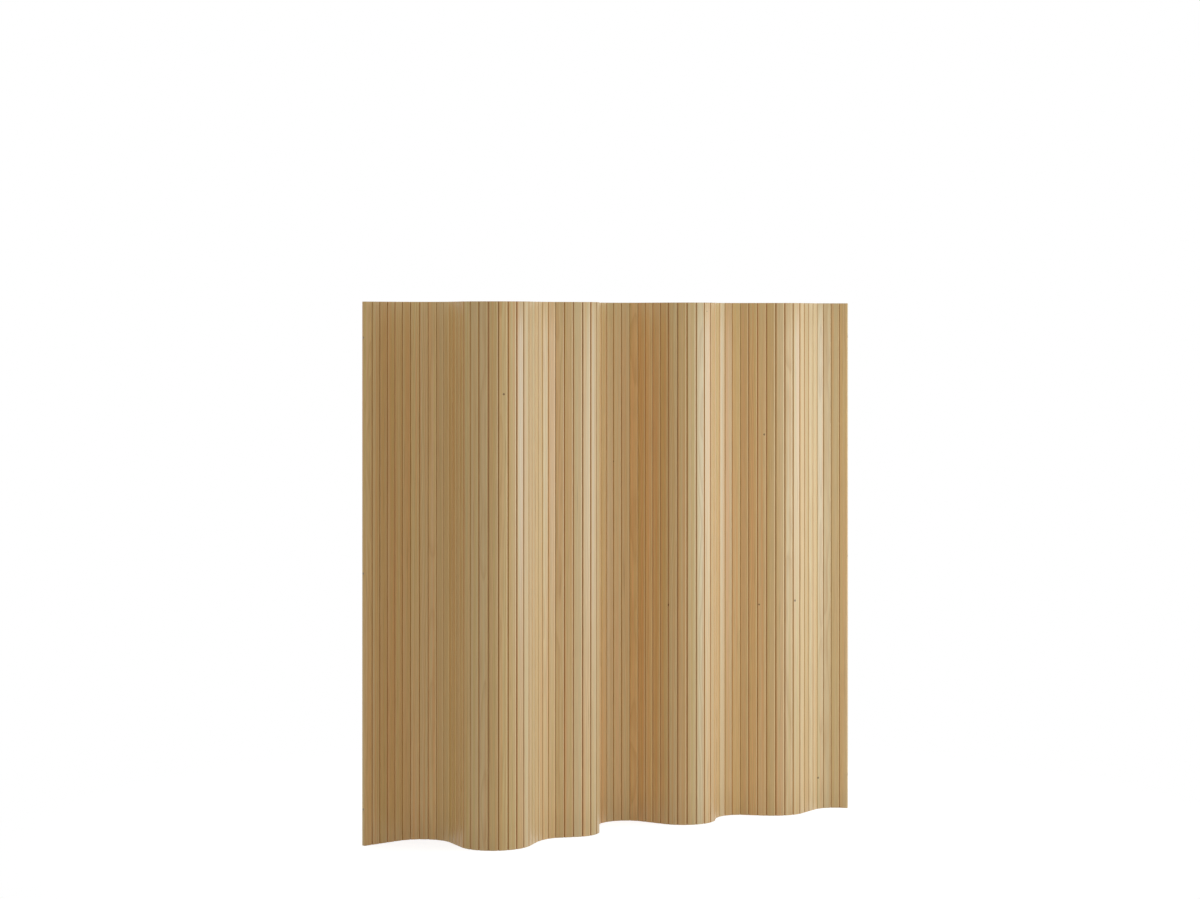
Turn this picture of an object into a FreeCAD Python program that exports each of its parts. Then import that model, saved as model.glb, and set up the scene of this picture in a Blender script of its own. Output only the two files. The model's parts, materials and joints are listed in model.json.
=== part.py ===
"""Flexible slatted room screen: upright pine slats strung side by side on steel wires.

Each slat has a rounded bead along one long edge and a matching cove along the other. The bead of
one slat turns in the cove of the next, so the screen can be bent into waves and stands by itself.
Beside the bead a shoulder leaves a groove at every joint, which is the room that the next slat's
lip needs to turn.
Wires run through every slat and end in crimped ferrules, sunk in the outer edges of the end slats.

Millimetres, +Z up. X runs from the left end of the screen to its right end, Y away from the viewer,
and the origin is on the floor, in the middle of the standing screen.
"""
import FreeCAD, Part
import Sketcher
import math
import os

Vector = FreeCAD.Vector
UP = Vector(0, 0, 1)

doc = FreeCAD.newDocument("slatted_screen")
sheet = doc.addObject("Spreadsheet::Sheet", "sizes")

SIZES = {
    # one slat
    "slat_height": 1500,
    "slat_thickness": 12,
    "slat_pitch": 26,  # from one hinge line to the next
    "edge_round": 2.5,  # on the plain outer edges of the two end slats
    # the bead-and-cove joint
    "shoulder": 2.6,  # the step from a face down to the bead
    "turn_limit": 28,  # degrees either way, until the cove's lip meets the shoulder of the next slat
    "cove_clearance": 0.3,
    "nose_angle": 56,  # where the bead is planed flat, in degrees from the slat's middle plane
    # the wires
    "wire_count": 3,
    "wire_inset": 100,  # upper and lower wire, from the ends of the slats
    "wire_diameter": 1.5,
    "wire_side_room": 0.1,  # left beside a wire in its passage at the tightest bend
    "wire_head_room": 1.2,  # left above and below it
    # the ferrules
    "ferrule_diameter": 6,
    "ferrule_length": 8,
    "crimp_clearance": 0.05,
    "seat_clearance": 0.25,
    "seat_depth": 10,
}

# The standing curve, from the left end: straight runs of slats with a bend between each run and the next.
RUN_SLATS = [5, 4, 2, 3, 4, 4, 2, 3, 4, 1]
# Each bend's hinges, and the degrees that its first and its last hinge turn, with even steps between them:
# left turns, seen from above, are positive.
BENDS = [(7, -14, -16), (9, 17, 13.5), (5, -2.5, -21), (4, 19, 21), (8, -13, -19), (7, 15, 18),
         (5, -16.5, -21), (5, 9, 18.5), (4, -21, -15.5)]

for number, slats in enumerate(RUN_SLATS, 1):
    SIZES[f"run_{number}_slats"] = slats
for number, (hinges, first_turn, last_turn) in enumerate(BENDS, 1):
    SIZES[f"bend_{number}_hinges"] = hinges
    SIZES[f"bend_{number}_first_turn"] = first_turn
    SIZES[f"bend_{number}_last_turn"] = last_turn

for row, (alias, size) in enumerate(SIZES.items(), 1):
    sheet.set(f"A{row}", alias)
    sheet.set(f"B{row}", str(size))
    sheet.setAlias(f"B{row}", alias)
doc.recompute()

height = sheet.slat_height
pitch = sheet.slat_pitch


def bend_turns(number):
    """The turn at each hinge of a bend, in radians."""
    hinges = int(sheet.get(f"bend_{number}_hinges"))
    first = math.radians(sheet.get(f"bend_{number}_first_turn"))
    last = math.radians(sheet.get(f"bend_{number}_last_turn"))
    return [first + (last - first) * n / max(hinges - 1, 1) for n in range(hinges)]


runs = [int(sheet.get(f"run_{n}_slats")) for n in range(1, len(RUN_SLATS) + 1)]
bends = [bend_turns(n) for n in range(1, len(BENDS) + 1)]
tightest = math.degrees(max(abs(turn) for turns in bends for turn in turns))

# Sizes that follow from the sheet's
HALF_THICKNESS = "sizes.slat_thickness / 2"
BEAD_RADIUS = f"({HALF_THICKNESS} - sizes.shoulder)"
COVE_RADIUS = f"({BEAD_RADIUS} + sizes.cove_clearance)"
LIP_ANGLE = "(90 - sizes.turn_limit)"
NOSE_REACH = f"{BEAD_RADIUS} * cos(sizes.nose_angle)"
WIRE_SWING = f"{NOSE_REACH} * tan({tightest})"
PASSAGE_WIDTH = f"sizes.wire_diameter / cos({tightest}) + 2 * sizes.wire_side_room + 2 * {WIRE_SWING}"
PASSAGE_HEIGHT = "sizes.wire_diameter + 2 * sizes.wire_head_room"
WIRE_SPAN = "sizes.slat_height - 2 * sizes.wire_inset"

half_thickness = sheet.slat_thickness / 2
bead_radius = half_thickness - sheet.shoulder
cove_radius = bead_radius + sheet.cove_clearance
lip_angle = math.radians(90 - sheet.turn_limit)
nose_angle = math.radians(sheet.nose_angle)
floor_angle = math.radians(sheet.nose_angle - sheet.turn_limit)
wire_levels = [sheet.wire_inset + (height - 2 * sheet.wire_inset) * n / (sheet.wire_count - 1)
               for n in range(int(sheet.wire_count))]


def origin_plane(body, role):
    return next(plane for plane in body.Origin.OriginFeatures if plane.Role == role)


def new_sketch(body, name, role):
    sketch = body.newObject("Sketcher::SketchObject", name)
    sketch.AttachmentSupport = [(origin_plane(body, role), "")]
    sketch.MapMode = "FlatFace"
    return sketch


def bind(sketch, name, formula, *constraint):
    """Adds a named dimension to a sketch and ties it to the sheet."""
    index = sketch.addConstraint(Sketcher.Constraint(*constraint))
    sketch.renameConstraint(index, name)
    sketch.setExpression(f"Constraints.{name}", formula)


def on_circle(centre_x, radius, angle):
    return Vector(centre_x + radius * math.cos(angle), radius * math.sin(angle), 0)


def arc(sketch, centre_x, radius, start, end):
    circle = Part.Circle(Vector(centre_x, 0, 0), UP, radius)
    return sketch.addGeometry(Part.ArcOfCircle(circle, start, end))


def segment(sketch, start, end):
    return sketch.addGeometry(Part.LineSegment(start, end))


def draw_bead(sketch):
    """The right edge: a bead with a flat nose, between two shoulders. Returns its lower and upper ends."""
    low_shoulder = segment(sketch, Vector(pitch, -half_thickness, 0), Vector(pitch, -bead_radius, 0))
    low = arc(sketch, pitch, bead_radius, -math.pi / 2, -nose_angle)
    nose_ends = [on_circle(pitch, bead_radius, angle) for angle in (-nose_angle, nose_angle)]
    nose = segment(sketch, *nose_ends)
    top = arc(sketch, pitch, bead_radius, nose_angle, math.pi / 2)
    top_shoulder = segment(sketch, Vector(pitch, bead_radius, 0), Vector(pitch, half_thickness, 0))
    sketch.addConstraint([
        Sketcher.Constraint("Coincident", low_shoulder, 2, low, 1),
        Sketcher.Constraint("Coincident", low, 2, nose, 1),
        Sketcher.Constraint("Coincident", nose, 2, top, 1),
        Sketcher.Constraint("Coincident", top, 2, top_shoulder, 1),
        Sketcher.Constraint("Coincident", low, 3, top, 3),
        Sketcher.Constraint("PointOnObject", top, 3, -1),
        Sketcher.Constraint("Equal", low, top),
        Sketcher.Constraint("Vertical", nose),
        Sketcher.Constraint("Vertical", low_shoulder),
        Sketcher.Constraint("Vertical", top_shoulder),
        Sketcher.Constraint("Vertical", top, 3, low_shoulder, 2),
        Sketcher.Constraint("Vertical", top, 3, top_shoulder, 1),
    ])
    bind(sketch, "bead_centre", "sizes.slat_pitch", "DistanceX", -1, 1, top, 3, pitch)
    bind(sketch, "bead_radius", BEAD_RADIUS, "Radius", top, bead_radius)
    bind(sketch, "nose_reach", NOSE_REACH, "DistanceX", top, 3, nose, 2, bead_radius * math.cos(nose_angle))
    return (low_shoulder, 1), (top_shoulder, 2)


def draw_cove(sketch):
    """The hollow left edge: two arcs, a flat floor and a slanting land on each lip.

    Returns its upper and lower ends.
    """
    land_x = half_thickness / math.tan(lip_angle)
    lip = on_circle(0, cove_radius, lip_angle)
    top_land = segment(sketch, Vector(land_x, half_thickness, 0), lip)
    top = arc(sketch, 0, cove_radius, floor_angle, lip_angle)
    floor = segment(sketch, on_circle(0, cove_radius, floor_angle), on_circle(0, cove_radius, -floor_angle))
    low = arc(sketch, 0, cove_radius, -lip_angle, -floor_angle)
    low_land = segment(sketch, Vector(lip.x, -lip.y, 0), Vector(land_x, -half_thickness, 0))
    sketch.addConstraint([
        Sketcher.Constraint("Coincident", top_land, 2, top, 2),
        Sketcher.Constraint("Coincident", top, 1, floor, 1),
        Sketcher.Constraint("Coincident", floor, 2, low, 2),
        Sketcher.Constraint("Coincident", low, 1, low_land, 1),
        Sketcher.Constraint("Coincident", top, 3, -1, 1),
        Sketcher.Constraint("Coincident", low, 3, -1, 1),
        Sketcher.Constraint("Equal", low, top),
        Sketcher.Constraint("Vertical", floor),
        Sketcher.Constraint("Vertical", top_land, 2, low_land, 1),
        Sketcher.Constraint("Vertical", top_land, 1, low_land, 2),
    ])
    floor_angle_formula = "(sizes.nose_angle - sizes.turn_limit)"
    bind(sketch, "cove_radius", COVE_RADIUS, "Radius", top, cove_radius)
    bind(sketch, "lip", f"{COVE_RADIUS} * cos{LIP_ANGLE}", "DistanceX", -1, 1, top, 2, lip.x)
    bind(sketch, "land", f"{HALF_THICKNESS} / tan{LIP_ANGLE}", "DistanceX", -1, 1, top_land, 1, land_x)
    bind(sketch, "floor", f"{COVE_RADIUS} * cos{floor_angle_formula}",
         "DistanceX", -1, 1, floor, 1, cove_radius * math.cos(floor_angle))
    return (top_land, 1), (low_land, 2)


def draw_plain_edge(sketch, edge_x, inward):
    """The flat outer edge of an end slat, with two rounded corners. inward is 1 on the left, -1 on the right.

    Returns the edge, and its upper and lower ends.
    """
    rounding = sheet.edge_round
    corner_x = edge_x + inward * rounding
    corner_y = half_thickness - rounding
    edge = segment(sketch, Vector(edge_x, corner_y, 0), Vector(edge_x, -corner_y, 0))
    ends = []
    for side in (1, -1):
        centre = Vector(corner_x, side * corner_y, 0)
        circle = Part.Circle(centre, UP, rounding)
        quarter = math.atan2(side, -inward) - math.pi / 4
        corner = sketch.addGeometry(Part.ArcOfCircle(circle, quarter, quarter + math.pi / 2))
        on_edge = 1 if side * inward < 0 else 2
        edge_end = 1 if side > 0 else 2
        sketch.addConstraint(Sketcher.Constraint("Tangent", edge, edge_end, corner, on_edge))
        bind(sketch, f"rounding_{corner}", "sizes.edge_round", "Radius", corner, rounding)
        ends.append((corner, 3 - on_edge))
    sketch.addConstraint(Sketcher.Constraint("Vertical", edge))
    return edge, ends


def slat(name, left, right):
    """One upright slat: its plan section padded to its height, then its wire passages cut across it."""
    body = doc.addObject("PartDesign::Body", name)
    section = new_sketch(body, name + "_section", "XY_Plane")
    if left == "cove":
        top_left, low_left = draw_cove(section)
    else:
        edge, (top_left, low_left) = draw_plain_edge(section, 0, 1)
        section.addConstraint(Sketcher.Constraint("PointOnObject", edge, 1, -2))
    if right == "bead":
        low_right, top_right = draw_bead(section)
    else:
        edge, (top_right, low_right) = draw_plain_edge(section, pitch, -1)
        bind(section, "outer_edge", "sizes.slat_pitch", "DistanceX", -1, 1, edge, 1, pitch)

    front = segment(section, Vector(pitch / 2, -half_thickness, 0), Vector(pitch, -half_thickness, 0))
    back = segment(section, Vector(pitch / 2, half_thickness, 0), Vector(pitch, half_thickness, 0))
    for face, left_end, right_end, side in ((front, low_left, low_right, -1), (back, top_left, top_right, 1)):
        for face_end, (neighbour, neighbour_end), edge_form in ((1, left_end, left), (2, right_end, right)):
            joint = "Tangent" if edge_form == "plain" else "Coincident"
            section.addConstraint(Sketcher.Constraint(joint, face, face_end, neighbour, neighbour_end))
        section.addConstraint(Sketcher.Constraint("Horizontal", face))
        bind(section, f"half_thickness_{face}", f"{side} * {HALF_THICKNESS}",
             "DistanceY", -1, 1, face, 1, side * half_thickness)

    pad = body.newObject("PartDesign::Pad", name + "_length")
    pad.Profile = section
    pad.setExpression("Length", "sizes.slat_height")
    doc.recompute()

    cuts = [cut_passage(body, name)]
    if left == "plain":
        cuts.append(cut_seat(body, name, "0", False))
    if right == "plain":
        cuts.append(cut_seat(body, name, "sizes.slat_pitch", True))
    rows = body.newObject("PartDesign::LinearPattern", name + "_wire_rows")
    rows.Originals = cuts
    rows.Direction = (cuts[0].Profile[0], ["V_Axis"])
    rows.setExpression("Length", WIRE_SPAN)
    rows.setExpression("Occurrences", "sizes.wire_count")
    body.Tip = rows
    doc.recompute()
    return body


def cut_passage(body, name):
    """The slotted way through the slat for the lowest wire, wide enough for the wire's swing in a bend."""
    sketch = new_sketch(body, name + "_passage_outline", "YZ_Plane")
    middle = sheet.wire_inset
    corners = [Vector(y, middle + z, 0) for y, z in ((-1, -1), (1, -1), (1, 1), (-1, 1))]
    sides = [segment(sketch, start, end) for start, end in zip(corners, corners[1:] + corners[:1])]
    bottom, right, top, left = sides
    for side, following in zip(sides, sides[1:] + sides[:1]):
        sketch.addConstraint(Sketcher.Constraint("Coincident", side, 2, following, 1))
    for side, direction in ((right, "Vertical"), (top, "Horizontal"), (left, "Vertical")):
        sketch.addConstraint(Sketcher.Constraint(direction, side))
    sketch.addConstraint(Sketcher.Constraint("Symmetric", bottom, 1, bottom, 2, -2))
    bind(sketch, "width", PASSAGE_WIDTH, "DistanceX", bottom, 1, bottom, 2, 2)
    bind(sketch, "height", PASSAGE_HEIGHT, "DistanceY", right, 1, right, 2, 2)
    bind(sketch, "level", f"sizes.wire_inset - ({PASSAGE_HEIGHT}) / 2",
         "DistanceY", -1, 1, bottom, 1, middle - 1)
    return cut(body, name + "_passage", sketch, None)


def cut_seat(body, name, edge_place, from_right):
    """The round seat of the lowest ferrule, sunk in the plain outer edge."""
    sketch = new_sketch(body, name + "_seat_outline", "YZ_Plane")
    sketch.setExpression(".AttachmentOffset.Base.z", edge_place)
    radius = sheet.ferrule_diameter / 2
    centre = Vector(0, sheet.wire_inset, 0)
    ring = sketch.addGeometry(Part.Circle(centre, UP, radius))
    sketch.addConstraint(Sketcher.Constraint("PointOnObject", ring, 3, -2))
    bind(sketch, "radius", "sizes.ferrule_diameter / 2 + sizes.seat_clearance", "Radius", ring, radius)
    bind(sketch, "level", "sizes.wire_inset", "DistanceY", -1, 1, ring, 3, centre.y)
    return cut(body, name + "_seat", sketch, "sizes.seat_depth", from_right)


def cut(body, name, sketch, depth, reverse=False):
    """Cuts a sketch into a body, right through or to a depth, towards the side where the wood is."""
    before = body.Shape.Volume
    pocket = body.newObject("PartDesign::Pocket", name)
    pocket.Profile = sketch
    if depth:
        pocket.Type = "Length"
        pocket.setExpression("Length", depth)
    else:
        pocket.Type = "ThroughAll"
    pocket.Reversed = not reverse
    doc.recompute()
    if body.Shape.Volume >= before:
        raise RuntimeError(f"{name} cuts nothing")
    return pocket


def standing_curve():
    """Every slat's heading and left hinge point, with the two ends of the row on a line along X."""
    turns = []
    for number, slats in enumerate(runs):
        turns += [0.0] * (slats - 1)
        if number < len(bends):
            turns += bends[number]
    headings = [0.0]
    for turn in turns:
        headings.append(headings[-1] + turn)
    points = [Vector()]
    for heading in headings:
        points.append(points[-1] + Vector(math.cos(heading), math.sin(heading), 0) * pitch)
    slant = math.atan2(points[-1].y, points[-1].x)
    level = FreeCAD.Rotation(UP, math.degrees(-slant))
    return [heading - slant for heading in headings], [level.multVec(point) for point in points]


def place(point, heading):
    return FreeCAD.Placement(point, FreeCAD.Rotation(UP, math.degrees(heading)))


def along(index, distance):
    """A point on a slat's middle plane, at a distance from its left hinge."""
    heading = headings[index]
    return hinge_points[index] + Vector(math.cos(heading), math.sin(heading), 0) * distance


def wire_stations():
    """Where a wire ends or turns: the place, the heading there and half the turn."""
    stations = [(along(0, sheet.seat_depth - sheet.ferrule_length), headings[0], 0.0)]
    for index in range(1, len(headings)):
        half_turn = (headings[index] - headings[index - 1]) / 2
        if abs(half_turn) > 1e-6:
            stations.append((hinge_points[index], headings[index] - half_turn, half_turn))
    stations.append((along(last_index, pitch - sheet.seat_depth + sheet.ferrule_length), headings[-1], 0.0))
    return stations


def strand_ring(point, heading, half_turn):
    """The six corners of a wire's section, mitred to half the turn."""
    across = Vector(-math.sin(heading), math.cos(heading), 0) * (1 / math.cos(half_turn))
    angles = [math.radians(60 * strand) for strand in range(6)]
    return [point + (across * math.cos(angle) + UP * math.sin(angle)) * (sheet.wire_diameter / 2)
            for angle in angles]


def tension_wires():
    """The strung wires, straight through each slat, with six flats for the six outer strands of the lay."""
    stations = wire_stations()
    rings = [strand_ring(*station) for station in stations]
    faces = [Part.Face(Part.makePolygon(ring + ring[:1])) for ring in (rings[0], rings[-1])]
    for ring, following in zip(rings, rings[1:]):
        for corner in range(6):
            beside = (corner + 1) % 6
            outline = [ring[corner], ring[beside], following[beside], following[corner], ring[corner]]
            faces.append(Part.Face(Part.makePolygon(outline)))
    strung = Part.Solid(Part.Shell(faces))
    length = sum((after[0] - before[0]).Length for before, after in zip(stations, stations[1:]))
    section = 1.5 * math.sqrt(3) * (sheet.wire_diameter / 2) ** 2
    filled = strung.Volume / (section * length)
    print(f"wire: length {length:.1f} mm, volume over section times length {filled:.5f}")
    wires = []
    for level in wire_levels:
        raised = strung.copy()
        raised.translate(UP * level)
        wires.append(raised)
    feature = doc.addObject("Part::Feature", "tension_wires")
    feature.Shape = Part.makeCompound(wires)
    return feature


def ferrules(name, index, seat_floor, outward):
    """A group of sleeves, one on each wire, crimped to six flats and seated on its round hole's floor."""
    heading = headings[index]
    across = Vector(-math.sin(heading), math.cos(heading), 0)
    direction = Vector(math.cos(heading), math.sin(heading), 0) * outward
    turn = FreeCAD.Rotation(across, direction.cross(across), direction, "ZXY")
    sleeves = []
    for number, level in enumerate(wire_levels, 1):
        barrel = doc.addObject("Part::Prism", f"{name}_barrel_{number}")
        barrel.setExpression("Circumradius", "sizes.ferrule_diameter / 2")
        bore = doc.addObject("Part::Prism", f"{name}_bore_{number}")
        bore.setExpression("Circumradius", "sizes.wire_diameter / 2 + sizes.crimp_clearance")
        for prism in (barrel, bore):
            prism.Polygon = 6
            prism.setExpression("Height", "sizes.ferrule_length")
            prism.Placement = FreeCAD.Placement(along(index, seat_floor) + UP * level, turn)
        sleeve = doc.addObject("Part::Cut", f"{name}_sleeve_{number}")
        sleeve.Base = barrel
        sleeve.Tool = bore
        sleeves.append(sleeve)
    group = doc.addObject("Part::Compound", name)
    group.Links = sleeves
    return group


def standing_copy(pattern, name, index):
    """A slat of the row, set up in its place in the standing curve."""
    body = doc.addObject("PartDesign::Body", name)
    base = body.newObject("PartDesign::FeatureBase", name + "_wood")
    base.BaseFeature = pattern
    body.Tip = base
    body.Placement = place(hinge_points[index], headings[index])
    return body


headings, hinge_points = standing_curve()
last_index = len(headings) - 1
left_pattern = slat("left_end_pattern", "plain", "bead")
inner_pattern = slat("inner_pattern", "cove", "bead")
right_pattern = slat("right_end_pattern", "cove", "plain")

# The plan is centred on the origin before anything is set up in its place.
plan_box = FreeCAD.BoundBox()
for index, heading in enumerate(headings):
    pattern = {0: left_pattern, last_index: right_pattern}.get(index, inner_pattern)
    shape = pattern.Shape.copy()
    shape.Placement = place(hinge_points[index], heading)
    plan_box.add(shape.optimalBoundingBox(False))
centre = Vector(plan_box.Center.x, plan_box.Center.y, 0)
hinge_points = [point - centre for point in hinge_points]

# Slats that stand in one straight run between two bends share a node, and a slat in a bend has its own.
sub_parts = [standing_copy(left_pattern, "left_end_slat", 0)]
index = 1
for number, slats in enumerate(runs):
    first = index
    count = slats - 1 if number == 0 else slats
    if number == len(runs) - 1:
        count -= 1
    members = [standing_copy(inner_pattern, f"slat_{first + n + 1:02d}", first + n) for n in range(count)]
    index += count
    if len(members) > 1:
        run = doc.addObject("Part::Compound", f"slats_{first + 1:02d}_to_{index:02d}")
        run.Links = members
        sub_parts.append(run)
    else:
        sub_parts += members
    if number < len(bends):
        for bend_slat in bends[number][1:]:
            sub_parts.append(standing_copy(inner_pattern, f"slat_{index + 1:02d}", index))
            index += 1
sub_parts.append(standing_copy(right_pattern, "right_end_slat", last_index))
sub_parts.append(tension_wires())
sub_parts.append(ferrules("left_ferrules", 0, sheet.seat_depth, -1))
sub_parts.append(ferrules("right_ferrules", last_index, pitch - sheet.seat_depth, 1))
doc.recompute()

for item in doc.Objects:
    if "Invalid" in item.State or "Error" in item.State:
        raise RuntimeError(f"{item.Label} did not compute: {item.State}")
for sub_part in sub_parts:
    if sub_part.Shape.isNull() or not sub_part.Shape.isValid():
        raise RuntimeError(f"{sub_part.Label} has no valid shape")

os.makedirs("parts", exist_ok=True)
for sub_part in sub_parts:
    sub_part.Shape.exportStep(f"parts/{sub_part.Label}.step")
print(len(headings), "slats in", len(sub_parts), "sub-parts, plan", plan_box.XLength, "by", plan_box.YLength)
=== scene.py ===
# %% [markdown]
# # A flexible slatted screen
#
# The screen is a row of upright pine slats. Each slat has a rounded bead along its right edge and a
# hollow cove along its left one, so the bead of one slat turns in the cove of the next and the whole
# row bends like a curtain. Three steel wires run through all the slats and pull them together, and a
# small crimped sleeve holds each end of a wire.
#
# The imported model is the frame: it says where each slat stands and where each hinge line is. This
# lesson makes the surfaces and finishes that the eye sees, and hangs each one on the body it moves with.

import json
import math

import bpy
import numpy as np
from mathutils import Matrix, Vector


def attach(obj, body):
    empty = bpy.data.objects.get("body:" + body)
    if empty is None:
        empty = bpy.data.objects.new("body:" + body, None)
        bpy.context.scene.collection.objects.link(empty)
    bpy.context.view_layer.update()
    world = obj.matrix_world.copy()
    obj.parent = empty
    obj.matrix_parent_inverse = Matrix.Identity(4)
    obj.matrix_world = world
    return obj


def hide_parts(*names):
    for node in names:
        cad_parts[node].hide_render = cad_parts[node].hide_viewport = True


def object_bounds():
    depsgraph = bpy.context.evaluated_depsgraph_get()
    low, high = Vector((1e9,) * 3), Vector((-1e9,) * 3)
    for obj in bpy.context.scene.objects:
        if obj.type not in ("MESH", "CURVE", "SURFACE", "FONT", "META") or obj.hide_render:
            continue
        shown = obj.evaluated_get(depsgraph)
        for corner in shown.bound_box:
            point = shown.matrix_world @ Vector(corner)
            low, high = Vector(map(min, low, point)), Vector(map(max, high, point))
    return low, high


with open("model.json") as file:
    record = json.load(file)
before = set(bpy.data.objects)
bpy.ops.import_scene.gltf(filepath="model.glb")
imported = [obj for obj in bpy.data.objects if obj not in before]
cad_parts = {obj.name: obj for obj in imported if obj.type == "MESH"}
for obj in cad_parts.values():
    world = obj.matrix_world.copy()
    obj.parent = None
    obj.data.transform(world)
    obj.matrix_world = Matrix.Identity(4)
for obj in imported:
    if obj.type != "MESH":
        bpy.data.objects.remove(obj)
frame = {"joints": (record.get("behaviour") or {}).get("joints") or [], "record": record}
cad_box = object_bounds()

# %% [markdown]
# ## The row, seen from above
#
# In plan the screen is a chain, and each slat is a link from one hinge line to the next. The places
# could be typed in, but then they would have to be kept in step with the model by hand. The frame
# already holds every hinge of the bends. A straight run has no hinge inside it, so its slats are spaced
# evenly between the hinges at its ends, which is what linear interpolation gives. The two outer ends lie
# beyond the first and last hinge, in the direction of the end slats' feet.

# %% Find every hinge line
MM = 0.001
SLAT_PITCH = 26.0  # mm, from one hinge line to the next

hinge_places = {int(joint["name"].split("_")[1]): np.array(joint["pos_m"][:2]) / MM
                for joint in frame["joints"]}
feet = {mount["name"]: np.array(mount["pos_m"][:2]) / MM for mount in frame["record"]["mounts"]}
first_hinge, last_hinge = min(hinge_places), max(hinge_places)
slat_count = last_hinge + 1  # the last hinge carries the right end slat


def outer_end(hinge, foot, slats):
    """A run's outer end: its hinge plus so many pitches along the direction from the hinge to the foot."""
    way = foot - hinge
    return hinge + way / np.linalg.norm(way) * slats * SLAT_PITCH


hinge_places[0] = outer_end(hinge_places[first_hinge], feet["left_foot"], first_hinge)
hinge_places[slat_count] = outer_end(hinge_places[last_hinge], feet["right_foot"], 1)
known = sorted(hinge_places)
known_places = np.array([hinge_places[number] for number in known])
numbers = np.arange(slat_count + 1)
hinge_lines = np.stack([np.interp(numbers, known, known_places[:, axis]) for axis in (0, 1)], axis=1)
links = np.diff(hinge_lines, axis=0)
headings = np.arctan2(links[:, 1], links[:, 0])
pitches = np.linalg.norm(links, axis=1)
print(slat_count, "slats, pitch", pitches.min().round(3), "to", pitches.max().round(3), "mm")

# %% [markdown]
# ## A slat's section
#
# A slat is a moulding: one outline, planed along the whole length. The outline has two edges and two
# flat faces. Each edge is a short list of arcs, and all of them are mirror images about the slat's
# middle plane, so half an edge is enough. The middle pair of points on an edge marks where the wire goes
# through. Arcs in a formula are easier to change than a drawn curve, and they give the joint exactly the
# radius that lets the bead turn in the cove. A shoulder beside the bead leaves a groove at every joint: it
# is the room that the next slat's lip needs to turn, and it draws the dark lines of the screen.

# %% Sizes of the section, in mm
HALF_THICKNESS = 6.0
SHOULDER = 2.6  # the step from a face down to the bead, which leaves a groove at every joint
COVE_CLEARANCE = 0.3
TURN_ROOM = 28.0  # degrees that a lip can turn before it meets the next slat's shoulder
NOSE_ANGLE = 56.0  # degrees from the middle plane, where the bead is planed flat
SHOULDER_EASE = 2.4  # how far down the long edge beside the bead is rounded
SHOULDER_RUN = 1.4  # the same rounding reaches this many times as far across the face
LIP_EASE = 0.8  # the lip beside the cove is only sanded
PLAIN_ROUND = 2.5  # on the outer edges of the end slats
PASSAGE_WIDTH = 3.42  # room for a wire's swing at a hinge's stop

BEAD_RADIUS = HALF_THICKNESS - SHOULDER
COVE_RADIUS = BEAD_RADIUS + COVE_CLEARANCE
LIP_ANGLE = 90 - TURN_ROOM
FLOOR_ANGLE = NOSE_ANGLE - TURN_ROOM
print("bead radius", round(BEAD_RADIUS, 2), "mm in a cove of", round(COVE_RADIUS, 2), "mm")

# %% Arcs and rounded corners
ARC_POINTS = 6
EASE_POINTS = 6


def arc(centre, radius, start, end):
    """The centre plus the radius times the cosine and sine of an even run of angles, in degrees."""
    angles = np.radians(np.linspace(start, end, ARC_POINTS))
    return np.asarray(centre) + radius * np.stack([np.cos(angles), np.sin(angles)], axis=1)


def mirrored(half):
    """Half an edge, and the same points in reverse with y changed in sign."""
    return np.vstack([half, half[::-1] * (1, -1)])


def eased(corner, before, after, size):
    """A rounded corner, as a quadratic curve for t from 0 to 1.

    It is (1-t)^2 of its first point, 2t(1-t) of the corner and t^2 of its last point.
    """
    t = np.linspace(0, 1, EASE_POINTS)[:, None]
    first, last = (corner + np.asarray(way) * size for way in (before, after))
    return (1 - t) ** 2 * first + 2 * t * (1 - t) * corner + t ** 2 * last


print("points:", ARC_POINTS, "on an arc,", EASE_POINTS, "on a rounded corner")

# %% Edges of the section


def bead_edge():
    """The front half: an eased shoulder, an arc of the bead down to the flat nose, and their mirror image."""
    shoulder = eased(np.array([SLAT_PITCH, -HALF_THICKNESS]), (-SHOULDER_RUN, 0), (0, 1), SHOULDER_EASE)
    front = arc((SLAT_PITCH, 0), BEAD_RADIUS, -90, -NOSE_ANGLE)
    return mirrored(np.vstack([shoulder, front, (front[-1, 0], -PASSAGE_WIDTH / 2)]))


def cove_edge():
    """The back half: an eased lip, an arc of the cove down to the flat floor, and their mirror image."""
    hollow = arc((0, 0), COVE_RADIUS, LIP_ANGLE, FLOOR_ANGLE)
    corner = np.array([HALF_THICKNESS / math.tan(math.radians(LIP_ANGLE)), HALF_THICKNESS])
    down = (hollow[0] - corner) / np.linalg.norm(hollow[0] - corner)
    lip = eased(corner, (1, 0), down, LIP_EASE)
    return mirrored(np.vstack([lip, hollow, (hollow[-1, 0], PASSAGE_WIDTH / 2)]))


def plain_edge(edge_x, outward):
    """A quarter circle from a face to the flat edge, and its mirror image. outward is 1 right, -1 left."""
    centre = (edge_x - outward * PLAIN_ROUND, -outward * (HALF_THICKNESS - PLAIN_ROUND))
    face_angle = -90 * outward
    return mirrored(arc(centre, PLAIN_ROUND, face_angle, face_angle + 90))


print("section points:", len(bead_edge()), "on a bead,", len(cove_edge()), "on a cove")

# %% [markdown]
# ## Carrying the section up the slat
#
# The section is carried up as a grid: one row of points for each level, one column for each point of the
# outline. Near both ends the rows are drawn in a little, which gives the sanded edge that catches light.
# A Bevel modifier would round the ends too, but it would also round the long edges, which have their own
# rounding. The rows at each wire mark the mouths of its passage, and the seats in the end slats.
#
# A surface here is three arrays: the points, the corners of all faces in one row, and each face's size.

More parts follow.
